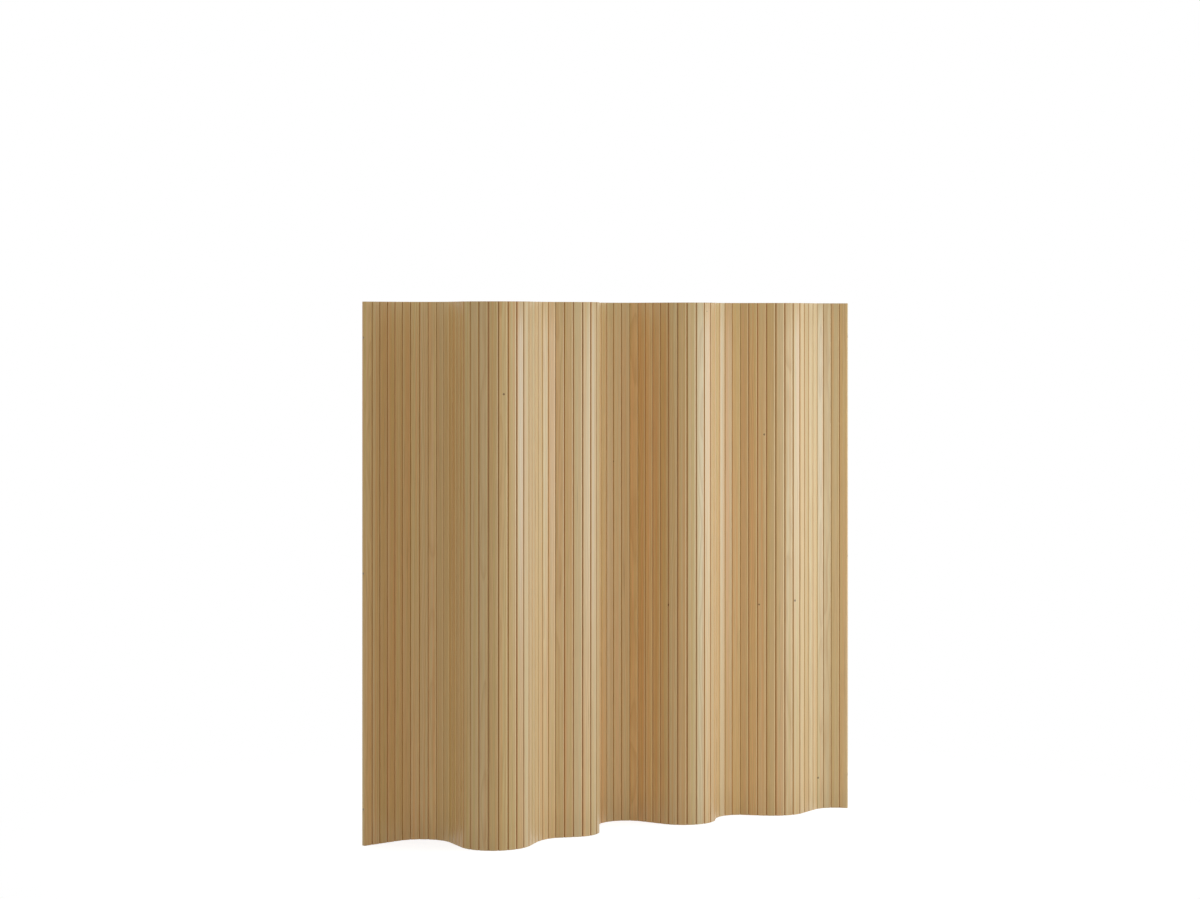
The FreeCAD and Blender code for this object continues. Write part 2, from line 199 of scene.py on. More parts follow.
# %% Slat levels, in mm
SLAT_HEIGHT = (cad_box[1].z - cad_box[0].z) / MM
WIRE_INSET = 100.0  # the upper and the lower wire, from the ends of the slats
WIRE_LEVELS = np.array([WIRE_INSET, SLAT_HEIGHT / 2, SLAT_HEIGHT - WIRE_INSET])
PASSAGE_HEIGHT = 3.9
SEAT_PLATE = 4.0  # half the height of the patch of edge that holds a seat
END_EASE = 0.8  # sanding of the sawn ends
EASE_ROWS = 4

ease = np.radians(np.linspace(0, 90, EASE_ROWS))
ease_rise = END_EASE * (1 - np.cos(ease))
ease_draw = END_EASE * (1 - np.sin(ease))
around_wire = np.array([-SEAT_PLATE, -PASSAGE_HEIGHT / 2, PASSAGE_HEIGHT / 2, SEAT_PLATE])
wire_rises = (WIRE_LEVELS[:, None] + around_wire).ravel()
levels = np.concatenate([ease_rise, wire_rises, (SLAT_HEIGHT - ease_rise)[::-1]])
draw_in = np.concatenate([ease_draw, np.zeros(wire_rises.size), ease_draw[::-1]])
wire_rows = EASE_ROWS + around_wire.size * np.arange(WIRE_LEVELS.size)  # the lowest row at each wire
print("slat levels:", len(levels), "from", levels[0], "to", levels[-1], "mm")

# %% The swept grid
BEAD_REACH = 1.0  # mm that the bead shifts a section's middle to the right of the pitch's middle


def swept(section):
    """Every row is the section at one level, scaled towards the slat's middle by that row's share."""
    middle = np.array([SLAT_PITCH / 2 + BEAD_REACH, 0])
    half_size = np.array([SLAT_PITCH / 2, HALF_THICKNESS])
    rows = middle + (section - middle) * (1 - draw_in[:, None, None] / half_size)
    heights = np.broadcast_to(levels[:, None, None], (*rows.shape[:2], 1))
    return np.concatenate([rows, heights], axis=2).reshape(-1, 3)


def grid_quads(rows, columns):
    """Quads between each row and the next, with the columns closed in a ring, facing out of the section."""
    row, column = np.meshgrid(np.arange(rows - 1), np.arange(columns), indexing="ij")
    beside = (column + 1) % columns
    here, above = row * columns, (row + 1) * columns
    return np.stack([here + column, here + beside, above + beside, above + column], axis=2)


def as_surface(points, faces):
    """A surface's three arrays: its points, the corners of all faces in one row, and each face's size."""
    return points, np.concatenate(faces), np.array([len(face) for face in faces])


print("a swept slat has", len(swept(np.vstack([bead_edge(), cove_edge()]))), "points")

# %% [markdown]
# ## Wire passages and seats
#
# Each wire goes through a slat in a small square passage, wide enough for its swing when the row bends. In
# the two end slats a round seat hides the sleeve on the wire's end. A Boolean cut would do as well, but
# with the mouths already on the grid a passage needs only four faces and all edges stay clean. A seat is
# a round hole in a patch of the edge. The patch, and the floor of the seat, are filled by four faces each,
# from a straight side to a quarter of the circle.

# %% Passages


def mouth(front, back, columns):
    """Grid numbers of each wire's mouth: low front, low back, high back and high front corner."""
    low = (wire_rows + 1) * columns
    return np.stack([low + front, low + back, low + columns + back, low + columns + front], axis=1)


def passage_walls(right, left):
    """Four quads from each right mouth to its left mouth, facing into the passage."""
    return np.stack([right, np.roll(right, -1, 1), np.roll(left, -1, 1), left], axis=2).reshape(-1, 4)


print("passages:", PASSAGE_WIDTH, "by", PASSAGE_HEIGHT, "mm at", WIRE_LEVELS, "mm")

# %% Seats
SEAT_RADIUS = 3.25  # mm
SEAT_DEPTH = 10.0  # mm
SEAT_SIDES = 32
QUARTER = SEAT_SIDES // 4
SEAT_CORNERS = np.array([(-1, -1), (1, -1), (1, 1), (-1, 1)])


def around(sides):
    """An even run of angles round a full turn, one for each side."""
    return np.linspace(0, 2 * math.pi, sides, endpoint=False)


def seat_points(edge_x, outward):
    """For each wire: a circle on the edge, the same at the seat's floor, and the passage's mouth there."""
    turn = around(SEAT_SIDES) - math.radians(135)  # a quarter begins at each corner of the patch
    circle = SEAT_RADIUS * np.stack([np.cos(turn), np.sin(turn)], axis=1)
    across = np.vstack([circle, circle, SEAT_CORNERS * (PASSAGE_WIDTH / 2, PASSAGE_HEIGHT / 2)])
    deep = np.repeat([edge_x, edge_x - outward * SEAT_DEPTH], [SEAT_SIDES, SEAT_SIDES + 4])
    heights = WIRE_LEVELS[:, None] + across[:, 1]
    flat = np.broadcast_to(np.stack([deep, across[:, 0]], axis=1), (*heights.shape, 2))
    return np.concatenate([flat, heights[..., None]], axis=2).reshape(-1, 3)


def seat_faces(plate, first, outward):
    """The patch of edge round one seat, the seat's wall and its floor round the passage.

    plate holds the patch's four sides as lists of grid numbers, and first is the number of the first
    seat point.
    """
    rim = first + np.arange(SEAT_SIDES)
    floor = rim + SEAT_SIDES
    corners = first + 2 * SEAT_SIDES + np.arange(4)
    faces = [*np.stack([rim, np.roll(rim, -1), np.roll(floor, -1), floor], axis=1)]
    for side in range(4):
        span = (side * QUARTER + np.arange(QUARTER + 1)) % SEAT_SIDES
        faces.append(np.concatenate([plate[side], rim[span[::-1]]]))
        faces.append(np.concatenate([floor[span], corners[[(side + 1) % 4, side]]]))
    return [face[::outward] for face in faces]


print("a seat adds", SEAT_SIDES * 2 + 4, "points to an end slat for each wire")

# %% A whole slat


def slat_surface(left, right):
    """A swept section with its ends, its passages and, on a plain edge, the seats of the sleeves."""
    right_edge = bead_edge() if right == "bead" else plain_edge(SLAT_PITCH, 1)
    left_edge = cove_edge() if left == "cove" else plain_edge(0, -1)
    section = np.vstack([right_edge, left_edge])
    columns = len(section)
    right_mid = len(right_edge) // 2 - 1
    left_mid = len(right_edge) + len(left_edge) // 2 - 1
    points = [swept(section)]
    quads = grid_quads(len(levels), columns)
    kept = np.ones(quads.shape[:2], bool)
    top_row = (len(levels) - 1) * columns
    faces = [np.arange(columns)[::-1], top_row + np.arange(columns)]
    mouths = {}
    edges = (("right", right == "plain", 1, right_mid, right_mid + 1, SLAT_PITCH),
             ("left", left == "plain", -1, left_mid + 1, left_mid, 0))
    for name, plain, outward, front, back, edge_x in edges:
        middle = min(front, back)
        if not plain:
            kept[wire_rows + 1, middle] = False
            mouths[name] = mouth(front, back, columns)
            continue
        kept[wire_rows[:, None] + np.arange(around_wire.size - 1), middle] = False
        seats = seat_points(edge_x, outward)
        firsts = sum(map(len, points)) + len(seats) // WIRE_LEVELS.size * np.arange(WIRE_LEVELS.size)
        points.append(seats)
        mouths[name] = firsts[:, None] + 2 * SEAT_SIDES + np.arange(4)
        for row, first in zip(wire_rows, firsts):
            rise = (row + np.arange(around_wire.size)) * columns
            plate = [[rise[0] + front, rise[0] + back], rise + back,
                     [rise[-1] + back, rise[-1] + front], rise[::-1] + front]
            faces += seat_faces(plate, first, outward)
    faces += [*quads[kept], *passage_walls(mouths["right"], mouths["left"])]
    return as_surface(np.vstack(points), faces)


slats = {edges: slat_surface(*edges) for edges in (("cove", "bead"), ("plain", "bead"), ("cove", "plain"))}
print("faces:", {" to ".join(edges): len(sizes) for edges, (points, corners, sizes) in slats.items()})

# %% [markdown]
# ## Painted shade in the grooves and painted highlights on the edges
#
# At every joint the colour is made darker and warmer down in the groove: painted shade, made warm like light
# bounced inside the groove. The upper part of the rounded edge beside the groove is made paler: a painted
# highlight. The painted shade is lighter on the bead. Both could be painted on by hand, but they follow from
# the section: how deep a point lies below its face says how far it is down the groove. Each point gets its
# shares as numbers, and the material mixes its colours by them.

# %% Groove and edge shares
GROOVE_START = 0.6  # mm below a face, where the painted shade begins
BEAD_SHADE_SHARE = 0.36  # of the groove's painted shade, used on the bead
HIGHLIGHT_RUN = 0.8  # of the rounding's width
HIGHLIGHT_DEPTH = 1.2  # mm below a face


def below_face(points):
    """How deep each point lies below the nearer face: half the thickness less the size of its y."""
    return HALF_THICKNESS - np.abs(points[:, 1])


def groove_shade_share(points, left, right):
    """0 on the faces, 1 at the bottom of a groove: the share of painted shade, from the depth below a face,
    and less on the bead.
    """
    depth = below_face(points)
    share = np.clip((depth - GROOVE_START) / (SHOULDER - GROOVE_START), 0, 1)
    on_right = points[:, 0] > SLAT_PITCH / 2
    on_bead = on_right & (depth > (SHOULDER + SHOULDER_EASE) / 2)
    return np.where(on_bead, BEAD_SHADE_SHARE, share) * np.where(on_right, right == "bead", left == "cove")


def edge_highlight_share(points, right):
    """The share of painted highlight: 1 on the upper part of the rounded shoulder beside a bead, 0 elsewhere.
    """
    rounded = points[:, 0] > SLAT_PITCH - HIGHLIGHT_RUN * SHOULDER_RUN * SHOULDER_EASE
    highlighted = rounded & (below_face(points) < HIGHLIGHT_DEPTH)
    return np.where(highlighted, 1.0, 0.0) * (right == "bead")


# counts the points with painted shade and with a painted highlight
inner_points = slats["cove", "bead"][0]
print("of", len(inner_points), "points,", np.count_nonzero(groove_shade_share(inner_points, "cove", "bead")),
      "are darkened and", np.count_nonzero(edge_highlight_share(inner_points, "bead")), "are rubbed")

# %% [markdown]
# ## Colours and nodes
#
# A colour picked from a screen is an sRGB value, and shaders work in linear light, so one function turns
# a hex code into what a socket wants. A second small function adds a node with its settings and links,
# which keeps each material short enough to read as a recipe.

# %% Colour and node helpers


def linear(code):
    """A hex colour in linear light: the low part divided by 12.92, the rest by the sRGB power curve."""
    srgb = np.array([int(code[start:start + 2], 16) for start in (1, 3, 5)]) / 255
    return (*np.where(srgb <= 0.04045, srgb / 12.92, ((srgb + 0.055) / 1.055) ** 2.4), 1.0)


def add_node(tree, kind, sockets=None, **settings):
    """Adds a node. sockets gives each input a value, or an output to link from."""
    node = tree.nodes.new(kind)
    for name, value in settings.items():
        setattr(node, name, value)
    for name, value in (sockets or {}).items():
        if isinstance(value, bpy.types.NodeSocket):
            tree.links.new(value, node.inputs[name])
        else:
            node.inputs[name].default_value = value
    return node


def new_material(name):
    """An empty node material, its tree and its output node."""
    material = bpy.data.materials.new(name)
    material.use_nodes = True
    material.node_tree.nodes.clear()
    return material, material.node_tree, material.node_tree.nodes.new("ShaderNodeOutputMaterial")


print("linear value of a mid grey:", linear("#808080"))

# %% [markdown]
# ## The figure of pine
#
# Pine shows pale early wood and darker late wood in each year's ring, a warm sapwood that drifts from
# greenish beige to pink along a board, and now and then a resin streak or a pin knot. An image of boards
# would do for one face, but the pattern here is a solid one: each slat carries an attribute with its own
# place inside a trunk, in millimetres, with the pith on the third axis. Rings are then just the distance
# from that axis, and they run round the edges and out at the sawn ends as in real wood.

# %% Patterns of the wood
# Each pattern's size in mm, across the grain twice and along it, and the detail of its noise.
PINE_PATTERNS = {
    "sway": ((70, 70, 420), 2),  # the wandering of the rings
    "band": ((6, 6, 900), 3),  # drifts of colour inside a board, drawn out along the grain
    "fibre": ((1.6, 1.6, 70), 3),  # coarser than real fibres, so that they show from across a room
    "streak": ((4, 4, 260), 1),  # resin
    "pale": ((7, 7, 1200), 2),  # paler sapwood, drawn out even more
}
RING_WIDTH = 2.6  # mm of growth in a year
RING_SWAY = 16  # mm that a ring wanders in or out
LATE_START, LATE_PEAK = 0.35, 0.86  # shares of a year: late wood begins, and is darkest
KNOT_CELL = 170  # mm of trunk with one pin knot
KNOT_RADIUS = 2.4  # mm
KNOT_FADE = 1.7  # radii, where the wood round a knot is clear again


def pine_noises(tree, wood):
    """A noise for each pattern, of the place in the trunk divided by the pattern's size along each axis."""
    noises = {}
    for name, (size, detail) in PINE_PATTERNS.items():
        scale = [1 / span for span in size]
        place = add_node(tree, "ShaderNodeMapping", {"Vector": wood, "Scale": scale}).outputs[0]
        noise = add_node(tree, "ShaderNodeTexNoise", {"Vector": place, "Scale": 1, "Detail": detail})
        noises[name] = noise.outputs["Fac"]
    return noises


def late_wood(tree, wood, sway):
    """The swayed distance from the pith over the ring width gives the year, and its fraction the season."""
    flat = add_node(tree, "ShaderNodeVectorMath", {0: wood, 1: (1, 1, 0)}, operation="MULTIPLY").outputs[0]
    radius = add_node(tree, "ShaderNodeVectorMath", {0: flat}, operation="LENGTH").outputs["Value"]
    swayed = add_node(tree, "ShaderNodeMath", {0: sway, 1: RING_SWAY, 2: radius}, operation="MULTIPLY_ADD")
    years = add_node(tree, "ShaderNodeMath", {0: swayed.outputs[0], 1: RING_WIDTH}, operation="DIVIDE")
    season = add_node(tree, "ShaderNodeMath", {0: years.outputs[0]}, operation="FRACT").outputs[0]
    ramp = add_node(tree, "ShaderNodeValToRGB", {"Fac": season})
    ramp.color_ramp.elements[0].position = LATE_START
    ramp.color_ramp.elements[1].position = LATE_PEAK
    ramp.color_ramp.elements.new(1.0).color = (0, 0, 0, 1)
    return ramp.outputs[0]


def pin_knots(tree, wood, share):
    """That share within a knot's radius of a cell's point, fading to nothing further out."""
    cells = add_node(tree, "ShaderNodeTexVoronoi", {"Vector": wood, "Scale": 1 / KNOT_CELL})
    return add_node(tree, "ShaderNodeMapRange", {
        "Value": cells.outputs["Distance"], "From Min": KNOT_RADIUS / KNOT_CELL,
        "From Max": KNOT_FADE * KNOT_RADIUS / KNOT_CELL, "To Min": share, "To Max": 0.0}).outputs[0]


print("pine patterns:", ", ".join(PINE_PATTERNS), "and rings of", RING_WIDTH, "mm")

# %% [markdown]
# ## Lacquered pine
#
# The slats are cut from many boards, so neighbours never match. A second attribute holds the tone of each
# board: how greenish, how pale and how deep. The colours are laid one over another, each by its own share,
# from the pink of the board to the painted highlight and painted shade at the joints, because a reader can
# then change one and see what it does. Clear satin lacquer lies over it all. It gives a broad sheen on what
# faces the light and no hard gloss, is duller down in the grooves, and soaks into the sawn ends, which turn
# darker.

# %% Tints of a board
NOISE_MIN, NOISE_MAX = 0.36, 0.64  # most of a noise lies between these
BAND_SHARE = 0.7  # of the greenish tint
PALE_DRIFT = 0.22  # of the pale tint, either way


def board_tints(tree, noises, tones):
    """The greenish and the pale share: a drift along the board plus the board's own tone, kept in 0 to 1."""
    tints = []
    for name, low, high, own in (("band", 0, BAND_SHARE, "X"), ("pale", -PALE_DRIFT, PALE_DRIFT, "Y")):
        drift = add_node(tree, "ShaderNodeMapRange", {
            "Value": noises[name], "From Min": NOISE_MIN, "From Max": NOISE_MAX,
            "To Min": low, "To Max": high}).outputs[0]
        tint = add_node(tree, "ShaderNodeMath", {0: drift, 1: tones[own]}, operation="ADD", use_clamp=True)
        tints.append(tint.outputs[0])
    return tints


print("tints drift by", BAND_SHARE, "to greenish and by", PALE_DRIFT, "to pale, either way")

# %% Colours of the wood
BOARD_PINK = "#EFBA85"
LATE_SHARE = 0.24
RESIN_MIN, RESIN_MAX, RESIN_SHARE = 0.68, 0.76, 0.3
KNOT_SHARE = 0.85
# shares of the painted highlight on the rounded edge and of the painted shade in the grooves
HIGHLIGHT_SHARE = 0.9
GROOVE_SHARE = 0.95


def pine_colour(tree, wood, tones, noises, edge, groove):
    """Colours laid one over another: at each step the share of the new one, and the rest of the old."""
    greenish, pale = board_tints(tree, noises, tones)
    rings = late_wood(tree, wood, noises["sway"])
    late = add_node(tree, "ShaderNodeMath", {0: rings, 1: LATE_SHARE}, operation="MULTIPLY").outputs[0]
    resin = add_node(tree, "ShaderNodeMapRange", {
        "Value": noises["streak"], "From Min": RESIN_MIN, "From Max": RESIN_MAX,
        "To Max": RESIN_SHARE}).outputs[0]
    knot = pin_knots(tree, wood, KNOT_SHARE)
    # the painted highlight on the rounded edge, and the painted shade down in the groove
    highlighted = add_node(tree, "ShaderNodeMath", {0: edge, 1: HIGHLIGHT_SHARE}, operation="MULTIPLY").outputs[0]
    dark = add_node(tree, "ShaderNodeMath", {0: groove, 1: GROOVE_SHARE}, operation="MULTIPLY").outputs[0]
    colour = linear(BOARD_PINK)
    # F8DCA8 is a painted highlight, and #BE6212 is painted shade, warm like light bounced inside the groove
    for share, code in ((greenish, "#E5C78B"), (pale, "#F0DAB4"), (late, "#C0884A"), (resin, "#A46F3A"),
                        (knot, "#6E4526"), (highlighted, "#F8DCA8"), (dark, "#BE6212")):
        colour = add_node(tree, "ShaderNodeMix", {"Factor": share, 6: colour, 7: linear(code)},
                          data_type="RGBA").outputs[2]
    return colour


print("linear pink of a board:", np.round(linear(BOARD_PINK), 3))

# %% Depth of the colour
FIBRE_MIN, FIBRE_MAX = 0.3, 0.7
FIBRE_DEEP, FIBRE_BRIGHT = 0.93, 1.05
END_SOAK = 0.22  # what the sawn ends lose in brightness


def pine_depth(tree, fibre, board_depth):
    """Brightness of the colour: the fibres' times the board's, less a share where a face looks up or down."""
    shade = add_node(tree, "ShaderNodeMapRange", {
        "Value": fibre, "From Min": FIBRE_MIN, "From Max": FIBRE_MAX,
        "To Min": FIBRE_DEEP, "To Max": FIBRE_BRIGHT}).outputs[0]
    depth = add_node(tree, "ShaderNodeMath", {0: shade, 1: board_depth}, operation="MULTIPLY").outputs[0]
    normal = add_node(tree, "ShaderNodeNewGeometry").outputs["Normal"]
    rise = add_node(tree, "ShaderNodeSeparateXYZ", {"Vector": normal}).outputs["Z"]
    end_grain = add_node(tree, "ShaderNodeMath", {0: rise}, operation="ABSOLUTE").outputs[0]
    return add_node(tree, "ShaderNodeMath", {0: end_grain, 1: -END_SOAK, 2: depth},
                    operation="MULTIPLY_ADD").outputs[0]


print("fibres vary the brightness from", FIBRE_DEEP, "to", FIBRE_BRIGHT)

# %% Pine under lacquer
SATIN_MIN, SATIN_MAX = 0.36, 0.46  # roughness of the lacquer
GROOVE_DULL = 0.5  # added to it down in a groove
LACQUER_SHEEN = 0.6  # specular level, a little over the 0.5 of a plain surface
FIBRE_BUMP = 0.25
FIBRE_RELIEF = 0.1 * MM


def pine_material():
    """Solid pine under satin lacquer: even, pale and warm, with soft vertical lines and no hard gloss."""
    material, tree, output = new_material("lacquered_pine")
    # edge holds the share of painted highlight, and groove the share of painted shade
    wood, tone, edge, groove = (add_node(tree, "ShaderNodeAttribute", attribute_name=name).outputs
                                for name in ("wood", "tone", "edge", "groove"))
    tones = add_node(tree, "ShaderNodeSeparateXYZ", {"Vector": tone["Vector"]}).outputs
    noises = pine_noises(tree, wood["Vector"])
    colour = pine_colour(tree, wood["Vector"], tones, noises, edge["Fac"], groove["Fac"])
    depth = pine_depth(tree, noises["fibre"], tones["Z"])
    stained = add_node(tree, "ShaderNodeVectorMath", {0: colour, "Scale": depth}, operation="SCALE")
    satin = add_node(tree, "ShaderNodeMapRange", {
        "Value": noises["fibre"], "To Min": SATIN_MIN, "To Max": SATIN_MAX}).outputs[0]
    dull = add_node(tree, "ShaderNodeMath", {0: groove["Fac"], 1: GROOVE_DULL, 2: satin},
                    operation="MULTIPLY_ADD").outputs[0]
    bump = add_node(tree, "ShaderNodeBump", {
        "Height": noises["fibre"], "Strength": FIBRE_BUMP, "Distance": FIBRE_RELIEF}).outputs[0]
    shader = add_node(tree, "ShaderNodeBsdfPrincipled", {
        "Base Color": stained.outputs[0], "Roughness": dull, "Normal": bump,
        "Specular IOR Level": LACQUER_SHEEN})
    tree.links.new(shader.outputs[0], output.inputs["Surface"])
    return material


pine = pine_material()
print(pine.name, "has", len(pine.node_tree.nodes), "nodes")

# %% [markdown]
# ## Setting up the row
#
# Each node of the model becomes one piece of wood, or one group of slats that stand in the same straight
# run. The slat is made once and its points are turned and moved for each place with one matrix product,
# which is quicker than building it again. What differs from slat to slat is only the wood: each has its
# own place in a trunk and its own tone, drawn from a seeded generator so that every run gives the same
# boards.

# %% Place and join surfaces


def stacked(surfaces):
    """Several surfaces as one: face corners of each are shifted by the points that came before it."""
    points, corners, sizes = zip(*surfaces)
    starts = np.cumsum([0] + [len(own) for own in points])
    shifted = [own + start for own, start in zip(corners, starts)]
    return np.vstack(points), np.concatenate(shifted), np.concatenate(sizes)


def standing(points, index):
    """Points of a slat in its place: turned by its heading, then moved to its left hinge line."""
    turn = headings[index]
    ahead = np.array([math.cos(turn), math.sin(turn), 0])
    aside = np.array([-math.sin(turn), math.cos(turn), 0])
    return points @ np.stack([ahead, aside, (0, 0, 1)]) + (*hinge_lines[index], 0)


print("slats head from", *np.degrees([headings.min(), headings.max()]).round(1), "degrees")

# %% Make a mesh piece
CREASE_ANGLE = 35  # degrees between two faces, from which their edge is drawn sharp

bodies = frame["record"]["behaviour"]["bodies"]
body_of = {node: body for body, nodes in bodies.items() for node in nodes}
slot_of = {part["node"]: part["material_slot"] for part in frame["record"]["subparts"]}


def new_piece(name, surface, material, body, node, attributes, crease=CREASE_ANGLE):
    """A mesh object at the origin that rides on a body, stands for a node and takes that node's finish."""
    points, corners, sizes = surface
    mesh = bpy.data.meshes.new(name)
    mesh.vertices.add(len(points))
    mesh.vertices.foreach_set("co", (points * MM).astype(np.float32).ravel())
    mesh.loops.add(len(corners))
    mesh.loops.foreach_set("vertex_index", corners.astype(np.int32))
    mesh.polygons.add(len(sizes))
    mesh.polygons.foreach_set("loop_start", (np.cumsum(sizes) - sizes).astype(np.int32))
    mesh.update(calc_edges=True)
    mesh.polygons.foreach_set("use_smooth", np.ones(len(sizes), bool))
    mesh.set_sharp_from_angle(angle=math.radians(crease))
    for label, values in attributes.items():
        kind, field = ("FLOAT", "value") if values.ndim == 1 else ("FLOAT_VECTOR", "vector")
        attribute = mesh.attributes.new(label, kind, "POINT")
        attribute.data.foreach_set(field, values.astype(np.float32).ravel())
    mesh.materials.append(material)
    piece = bpy.data.objects.new(name, mesh)
    bpy.context.scene.collection.objects.link(piece)
    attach(piece, body)
    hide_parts(node)
    return piece


print("slots:", sorted(set(slot_of.values())))

# %% Boards
BOARD_SEED = 23
PITH_REACH = (35, 110)  # mm from the pith to a slat
TRUNK_LENGTH = 40_000  # mm of timber that the slats are cut from
GREENISH_RANGE = (0.0, 0.3)
PALE_SHAPE = (2.0, 6.0)  # of a beta distribution: most boards are warm and a few are pale
DEPTH_RANGE = (0.92, 1.04)
GROOVE_SHADE_RANGE = (0.7, 1.0)  # the strength of the painted shade differs from groove to groove

rng = np.random.default_rng(BOARD_SEED)
pith_angles = rng.uniform(0, 2 * math.pi, slat_count)
pith_reaches = rng.uniform(*PITH_REACH, slat_count)
trunk_heights = rng.uniform(0, TRUNK_LENGTH, slat_count)
trunk_places = np.stack([pith_reaches * np.cos(pith_angles), pith_reaches * np.sin(pith_angles),
                         trunk_heights], axis=1)
tones = np.stack([rng.uniform(*GREENISH_RANGE, slat_count), rng.beta(*PALE_SHAPE, slat_count),
                  rng.uniform(*DEPTH_RANGE, slat_count)], axis=1)
groove_shade_strength = rng.uniform(*GROOVE_SHADE_RANGE, slat_count)
print("mean tone of the boards:", tones.mean(axis=0).round(2))

# %% Pine slats
END_EDGES = {"left_end_slat": ("plain", "bead"), "right_end_slat": ("cove", "plain")}


def slats_of(node):
    """The slats in a node, counted from 0: its name gives the first and the last, counted from 1."""
    counts = [int(word) for word in node.split("_") if word.isdigit()]
    counts = counts or [1 if node.startswith("left") else slat_count]
    return range(counts[0] - 1, counts[-1])


for node in (node for node, slot in slot_of.items() if slot == "pine"):
    edges = END_EDGES.get(node, ("cove", "bead"))
    points, corners, sizes = slats[edges]
    members = slats_of(node)
    own = slice(members.start, members.stop)
    row = stacked([(standing(points, index), corners, sizes) for index in members])
    # groove and edge carry the shares of painted shade and painted highlight
    new_piece("pine_" + node, row, pine, body_of[node], node, {
        "wood": np.vstack([points + trunk_places[index] for index in members]),
        "tone": np.repeat(tones[own], len(points), axis=0),
        "groove": np.outer(groove_shade_strength[own], groove_shade_share(points, *edges)).ravel(),
        "edge": np.tile(edge_highlight_share(points, edges[1]), len(members))})

# %% [markdown]
# ## Wires
#
# Each wire is a strand of steel under tension. It runs straight through a slat and turns only at the hinge
# lines, so it can be cut there: each body gets the lengths inside its own slats, with a round end on every
# hinge line. However far a hinge turns, two round ends on one point still look like one wire. A rigid wire
# along the whole row would be left behind when the screen is bent.

# %% Drawn steel
STRANDS = 6
LAY_LENGTH = 11.0  # mm for one turn of a strand
STRAND_ROUGHNESS = 0.38
STRAND_BUMP = 0.6
STRAND_RELIEF = 0.15 * MM


def strand_material():
    """Drawn steel strand: grey, half dull, with painted shade in the lines between six twisted outer wires.
    """
    material, tree, output = new_material("drawn_steel_strand")
    place = add_node(tree, "ShaderNodeAttribute", attribute_name="strand").outputs["Vector"]
    parts = add_node(tree, "ShaderNodeSeparateXYZ", {"Vector": place}).outputs
    angle = add_node(tree, "ShaderNodeMath", {0: parts["Z"], 1: parts["Y"]}, operation="ARCTAN2").outputs[0]
    twist = add_node(tree, "ShaderNodeMath", {0: parts["X"], 1: 2 * math.pi / LAY_LENGTH, 2: angle},
                     operation="MULTIPLY_ADD").outputs[0]
    lobes = add_node(tree, "ShaderNodeMath", {0: twist, 1: STRANDS / 2}, operation="MULTIPLY").outputs[0]
    wave = add_node(tree, "ShaderNodeMath", {0: lobes}, operation="SINE").outputs[0]
    height = add_node(tree, "ShaderNodeMath", {0: wave}, operation="ABSOLUTE").outputs[0]
    # the darker colour in the hollows between the outer wires is painted shade
    colour = add_node(tree, "ShaderNodeMix", {"Factor": height, 6: linear("#5C5A57"), 7: linear("#B9B8B4")},
                      data_type="RGBA").outputs[2]
    bump = add_node(tree, "ShaderNodeBump", {
        "Height": height, "Strength": STRAND_BUMP, "Distance": STRAND_RELIEF}).outputs[0]
    shader = add_node(tree, "ShaderNodeBsdfPrincipled", {
        "Base Color": colour, "Metallic": 1.0, "Roughness": STRAND_ROUGHNESS, "Normal": bump})
    tree.links.new(shader.outputs[0], output.inputs["Surface"])
    return material


strand_steel = strand_material()
print(strand_steel.name, "with", STRANDS, "outer wires")

# %% String the wires
WIRE_RADIUS = 0.75  # mm
WIRE_SIDES = 8
ROUND_END = np.radians([30, 60, 90])  # one ring for each
WIRE_CREASE = 80  # degrees, so that the eight sides look round
SLEEVE_LENGTH = 8.0  # mm
sleeve_mouth = SEAT_DEPTH - SLEEVE_LENGTH  # a wire ends level with the outer end of its sleeve


def ringed(along, radius, turn):
    """Rings round the x axis: each at its place, its radius times the cosine and sine of the turn."""
    across = radius[..., None] * np.stack([np.cos(turn), np.sin(turn)], axis=1)
    places = np.broadcast_to(along[:, None, None], (*across.shape[:2], 1))
    return np.concatenate([places, across], axis=2).reshape(-1, 3)


def wire_length(start, end):
    """A tube along x: rings of a circle, whose radius follows a quarter circle over each round end."""
    reach, radius = WIRE_RADIUS * np.cos(ROUND_END), WIRE_RADIUS * np.sin(ROUND_END)
    along = np.concatenate([start - reach, (end + reach)[::-1]])
    strand = ringed(along, np.concatenate([radius, radius[::-1]])[:, None], around(WIRE_SIDES))
    cap = np.arange(WIRE_SIDES)
    quads = grid_quads(len(along), WIRE_SIDES).reshape(-1, 4)
    return as_surface(strand, [*quads, cap[::-1], len(strand) - WIRE_SIDES + cap])


for body, nodes in bodies.items():
    lengths, strands = [], []
    for index in (index for node in nodes if slot_of[node] == "pine" for index in slats_of(node)):
        start = sleeve_mouth if index == 0 else 0.0
        end = SLAT_PITCH - sleeve_mouth if index == slat_count - 1 else SLAT_PITCH
        strand, corners, sizes = wire_length(start, end)
        lengths += [(standing(strand + (0, 0, level), index), corners, sizes) for level in WIRE_LEVELS]
        strands += [strand] * WIRE_LEVELS.size
    new_piece("wires_in_" + body, stacked(lengths), strand_steel, body, "tension_wires",
              {"strand": np.vstack(strands)}, crease=WIRE_CREASE)

# %% [markdown]
# ## Crimped sleeves
#
# A sleeve is a short aluminium tube. It is pushed on the wire's end and squeezed to six flats with a
# crimping tool, and its two rims stay round. It could be a cylinder that is cut by six planes, but then
# the change from round to flat would be hard. Here it is a closed ring of rings: one profile goes out
# along the outside and back along the bore, and each ring is a mix of circle and hexagon.

# %% Crimped aluminium
TURNING_SIZE = (0.167, 3.33, 3.33)  # mm, marks of the lathe round the sleeve
WEAR_SIZE = 1.67  # mm, clouds of handling wear
SLEEVE_BRIGHT, SLEEVE_WORN = 0.28, 0.5  # roughness
TURNING_BUMP = 0.3
TURNING_RELIEF = 0.05 * MM


